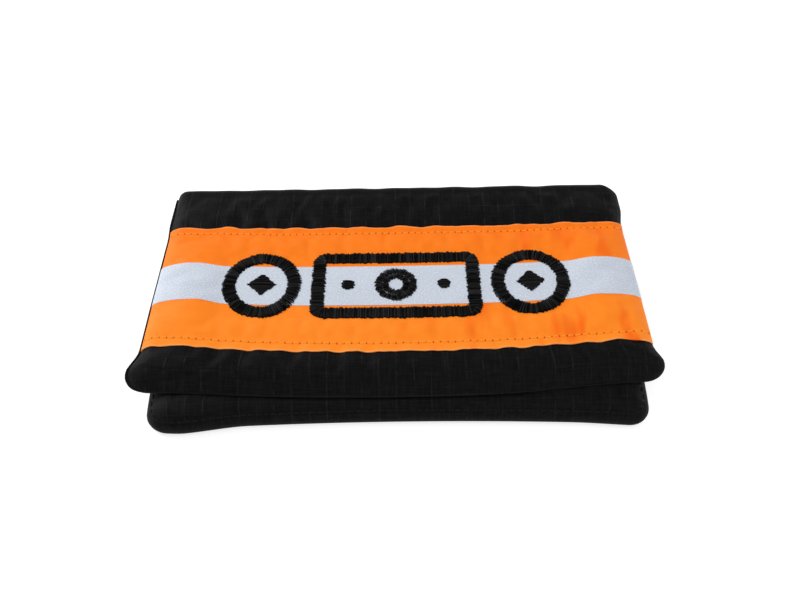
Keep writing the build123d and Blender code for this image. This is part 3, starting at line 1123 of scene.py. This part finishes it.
def front_half(side):
    """Half of the front wall: a padded slab whose free edge is rounded over."""
    roll, flat_lines = 1.6, 52
    turn = np.linspace(0, math.pi / 2, 6)[1:]
    y_flat = np.linspace(hinge_y, mouth_y - roll, flat_lines)
    y_lines = np.concatenate([y_flat, mouth_y - roll + roll * np.sin(turn)])
    edge = np.concatenate([np.zeros(flat_lines), 0.96 * (1 - np.cos(turn))])
    x, y = np.meshgrid(np.linspace(0, rim_inside, 48) * halves[side], y_lines, indexing="ij")
    middle_z, thick = (front_top + front_under) / 2, (front_top - front_under) / 2 * (1 - edge)
    top = stack(x, y, middle_z + thick + front_height(x, y) * (1 - edge))
    under = stack(x, y, middle_z - thick)
    points = settle_pouch(np.concatenate([top.reshape(-1, 3), under.reshape(-1, 3)]))
    rows, columns = x.shape
    faces, rim = slab_faces(rows, columns, flip=halves[side] < 0)
    quads = (rows - 1) * (columns - 1)
    material_ids = [0] * quads + [1] * quads + [0] * len(rim)
    uvs = np.concatenate([stack(x, y).reshape(-1, 2)] * 2)
    row_starts = (0, (rows - 1) * columns, rows * columns)
    cut = [start + j for start in row_starts for j in range(columns)] + [i * columns for i in range(rows)]
    return paint(make_object(f"front_wall_{side}", points, faces, uvs, material_ids, cut), ripstop, lining)


def bend_front(piece, side):
    """Bakes the piece's transform into its mesh."""
    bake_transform(piece)


for side in halves:
    wall = front_half(side)
    bend_front(wall, side)
    stand_for(wall, "ripstop_black", "front_panel_outer", "front_panel_padding", "front_panel_lining")

for side, sign in halves.items():
    holes = settle_front(stack(np.arange(0.0, wall_half - 1.0, stitch_pitch) * sign, mouth_row, front_top))
    row_of_stitches = stitches(f"mouth_stitches_{side}", holes, (0, 0, 1), (0.10, 0.90), 0.22, black_thread)
    bend_front(row_of_stitches, side)
    stand_for(row_of_stitches, "thread_black", "mouth_topstitching")


# Hook-and-loop closure

tape_ground = 0.45  # thickness of a tape's woven ground; its hooks or loops make up the rest
hook_ground_z = hook_high[2] - tape_ground
loop_ground_z = loop_low[2] + tape_ground


def tape_slab(name, x_ends, low, high, z_top, settle, material):
    """The tape's woven ground, as a thin slab that follows the cloth it is sewn to."""
    x, y = np.meshgrid(np.linspace(*x_ends, 60), np.linspace(low[1], high[1], 14), indexing="ij")
    normal = stack(0 * x, 0, 1.0)
    return paint(sheet_object(name, settle(stack(x, y, z_top)), normal, stack(x, y), tape_ground), material)


def pile(low, high, pitch, seed):
    """Scattered root places of hooks or loops over a tape, and the generator that placed them."""
    rng = np.random.default_rng(seed)
    margin = 2.4
    x = np.arange(low[0] + margin, high[0] - margin, pitch)
    y = np.arange(low[1] + margin, high[1] - margin, pitch)
    grid = np.stack(np.meshgrid(x, y, indexing="ij"), -1).reshape(-1, 2)
    return grid + rng.uniform(-0.25, 0.25, grid.shape) * pitch, rng


def make_hooks():
    """Small hooks that point down from the flap's tape."""
    roots, rng = pile(hook_low, hook_high, 1.3, 5)
    out, up = np.array([(0, 0), (0, 0.22), (0.06, 0.40), (0.24, 0.44), (0.34, 0.30)]).T
    spin = (rng.choice([0.0, math.pi], len(roots)) + rng.normal(0, 0.3, len(roots)))[:, None]
    x = roots[:, :1] + np.cos(spin) * out
    y = roots[:, 1:] + np.sin(spin) * out
    lines = settle_flap(stack(x, y, hook_ground_z + 0.05 - up))
    ups = np.broadcast_to([0.0, 1.0, 0.0], lines.shape)
    return paint(tubes_object("hook_tape_hooks", lines, ups, 0.09, sides=4), hook_tape)


def make_loops(side):
    """A pile of loops on half of the front wall's tape."""
    roots, rng = pile(loop_low, loop_high, 1.15, 6)
    roots = roots[roots[:, 0] * halves[side] > 0.0]
    angle = np.linspace(0, math.pi, 6)
    spin = rng.uniform(0, math.pi, len(roots))[:, None]
    reach = np.cos(angle) * rng.uniform(0.35, 0.6, len(roots))[:, None]
    x = roots[:, :1] + reach * np.cos(spin)
    y = roots[:, 1:] + reach * np.sin(spin)
    lines = settle_front(stack(x, y, loop_ground_z - 0.05 + np.sin(angle) * 0.42))
    ups = np.broadcast_to(stack(-np.sin(spin), np.cos(spin), 0.0), lines.shape)
    return paint(tubes_object(f"loop_tape_loops_{side}", lines, ups, 0.08, sides=4), loop_tape)


def tape_holes(low, high, z):
    """Needle holes round a closure tape, inside its edge."""
    inset, pitch = 1.5, stitch_pitch * 0.8
    x_half, y_half = (high[0] - low[0]) / 2 - inset, (high[1] - low[1]) / 2 - inset
    x, y = np.arange(-x_half, x_half, pitch), np.arange(-y_half, y_half, pitch)
    ring = np.concatenate([stack(x, -y_half), stack(x_half, y), stack(-x, y_half), stack(-x_half, -y)])
    ring = np.concatenate([ring, ring[:1]])
    return stack(ring[:, 0], ring[:, 1] + (high[1] + low[1]) / 2, z)


def tape_stitches(name, holes, up, keep=None):
    """Stitching round a closure tape, or round the part of it that keep picks."""
    return stitches(name, holes, (0, 0, up), (0.10, 0.90), 0.18, black_thread, rise=0.15, keep=keep)


hook_ground = tape_slab(
    "hook_tape_ground", (hook_low[0], hook_high[0]), hook_low, hook_high, hook_high[2], settle_flap, hook_tape
)
hooks = make_hooks()
for piece in (hook_ground, hooks):
    stand_for(piece, "hook_tape_black", "hook_strip", body="flap")
hook_holes = settle_flap(tape_holes(hook_low, hook_high, hook_ground_z))
hook_stitches = tape_stitches("hook_tape_stitches", hook_holes, -1)
stand_for(hook_stitches, "thread_black", "hook_strip_stitching", body="flap")

loop_holes = settle_front(tape_holes(loop_low, loop_high, loop_ground_z))
for (side, sign), x_ends in zip(halves.items(), ((loop_low[0], 0.0), (0.0, loop_high[0]))):
    loop_ground = tape_slab(
        f"loop_tape_ground_{side}", x_ends, loop_low, loop_high, loop_ground_z, settle_front, loop_tape
    )
    loops = make_loops(side)
    loop_stitches = tape_stitches(f"loop_tape_stitches_{side}", loop_holes, 1, keep=lambda x: x * sign > 0)
    for piece in (loop_ground, loops, loop_stitches):
        bend_front(piece, side)
    for piece in (loop_ground, loops):
        stand_for(piece, "loop_tape_black", "loop_strip")
    stand_for(loop_stitches, "thread_black", "loop_strip_stitching")


# Filling and stabiliser, hidden inside the walls


def filling(name, node, body, x_half, y_ends, z_ends, settle):
    """A slab of wadding, thick in the middle and thin at its edges."""
    x, y = np.meshgrid(np.linspace(-x_half, x_half, 60), np.linspace(*y_ends, 36), indexing="ij")
    inset = np.minimum(x_half - np.abs(x), np.minimum(y - y_ends[0], y_ends[1] - y))
    full = np.sqrt(np.clip(1 - (1 - np.clip(inset / 8.0, 0, 1)) ** 2, 0.02, 1))
    middle, half = sum(z_ends) / 2, (z_ends[1] - z_ends[0]) / 2
    layers = [stack(x, y, middle + way * half * full).reshape(-1, 3) for way in (1, -1)]
    slab = make_object(name, settle(np.concatenate(layers)), slab_faces(*x.shape)[0])
    stand_for(paint(slab, wadding), "padding_white", node, body=body)


def stand_in_spine(p):
    """Stands a flat slab up in the spine."""
    return stack(p[..., 0], fold_y - flap_thickness / 2 - p[..., 2], p[..., 1])


filling(
    "flap_filling", "flap_padding", "flap",
    half_width - 4, (flap_front + 4, fold_y - 7), (flap_under + 0.7, flap_top - 0.9), settle_flap,
)
filling(
    "back_filling", "back_panel_padding", "pouch",
    pouch_half_front - 5, (pouch_front + 9, fold_y - 7), (0.7, pocket_floor - 0.6), settle_back,
)
filling(
    "spine_filling", "spine_padding", "spine",
    half_width - 5, (7.0, flap_top - 7.0), (-0.6, 0.6), stand_in_spine,
)

backing_lines = [np.linspace(backing_low[k], backing_high[k], count) for k, count in enumerate((90, 30))]
p, q = np.meshgrid(*backing_lines, indexing="ij")
points, normal = flap_face.lifted(p, q, -cloth_thickness - 0.1)
stabiliser = paint(sheet_object("stabiliser", points, normal, stack(p, q), 0.2), wadding)
stand_for(stabiliser, "stabiliser_white", "embroidery_backing", body="flap")


# Floor, light and camera


def make_stage():
    """A plain white floor, and a round wall about it that hides the horizon."""
    reach, wall_reach, wall_height, segments = 6.0, 5.7, 1.7, 96
    corners = np.array([(-1, -1, 0), (1, -1, 0), (1, 1, 0), (-1, 1, 0)]) * reach
    white = Material("floor_white", (0.55,) * 3, 0.9, specular=0.1, emission=1.32)
    paint(make_object("floor", corners / MM, [(0, 1, 2, 3)]), white.data)
    turns = np.linspace(0, 2 * math.pi, segments, endpoint=False)
    x, y = wall_reach * np.cos(turns), wall_reach * np.sin(turns)
    ring = np.stack([stack(x, y, 0.0), stack(x, y, wall_height)], 1)
    wall = make_object("backdrop", ring / MM, grid_faces(segments, 2, flip=True, wrap=True))
    white = Material("backdrop_white", (0.4,) * 3, 0.9, specular=0.1, emission=2.2)
    paint(wall, white.data)
    world = bpy.data.worlds.new("studio")
    bpy.context.scene.world = world
    world.use_nodes = True
    background = world.node_tree.nodes["Background"]
    background.inputs["Color"].default_value = (1.0, 1.0, 1.0, 1)
    background.inputs["Strength"].default_value = 0.32
    bpy.context.scene.view_settings.view_transform = "Standard"


def area_light(name, place, size, power):
    """A soft light that points at the bag."""
    data = bpy.data.lights.new(name, "AREA")
    data.shape = "RECTANGLE"
    data.size, data.size_y = size
    data.energy = power
    light = bpy.data.objects.new(name, data)
    light.location = place
    light.rotation_euler = (-Vector(place)).to_track_quat("-Z", "Y").to_euler()
    bpy.context.scene.collection.objects.link(light)


def make_camera():
    """Above and in front of the bag, turned and tilted by a degree or so."""
    place = np.array([3.93, -275.11, 297.39]) * MM
    yaw, pitch, roll = (math.radians(angle) for angle in (-0.753, 46.432, -1.431))
    ahead = np.array([math.sin(yaw) * math.cos(pitch), math.cos(yaw) * math.cos(pitch), -math.sin(pitch)])
    right = np.array([math.cos(yaw), -math.sin(yaw), 0.0])
    up = np.cross(right, ahead)
    rolled_right = right * math.cos(roll) + up * math.sin(roll)
    rolled_up = up * math.cos(roll) - right * math.sin(roll)
    data = bpy.data.cameras.new("camera")
    data.sensor_width = 36.0
    data.lens = 38.81
    data.clip_start = 0.01
    camera = bpy.data.objects.new("camera", data)
    matrix = np.eye(4)
    matrix[:3] = np.stack([rolled_right, rolled_up, -ahead, place], -1)
    camera.matrix_world = Matrix(matrix.tolist())
    bpy.context.scene.collection.objects.link(camera)
    bpy.context.scene.camera = camera


make_stage()
area_light("key", (-0.85, 0.45, 0.70), (0.6, 0.5), 8.3)
area_light("fill", (0.55, -0.3, 0.95), (0.9, 0.9), 3.9)
make_camera()

bpy.context.view_layer.update()
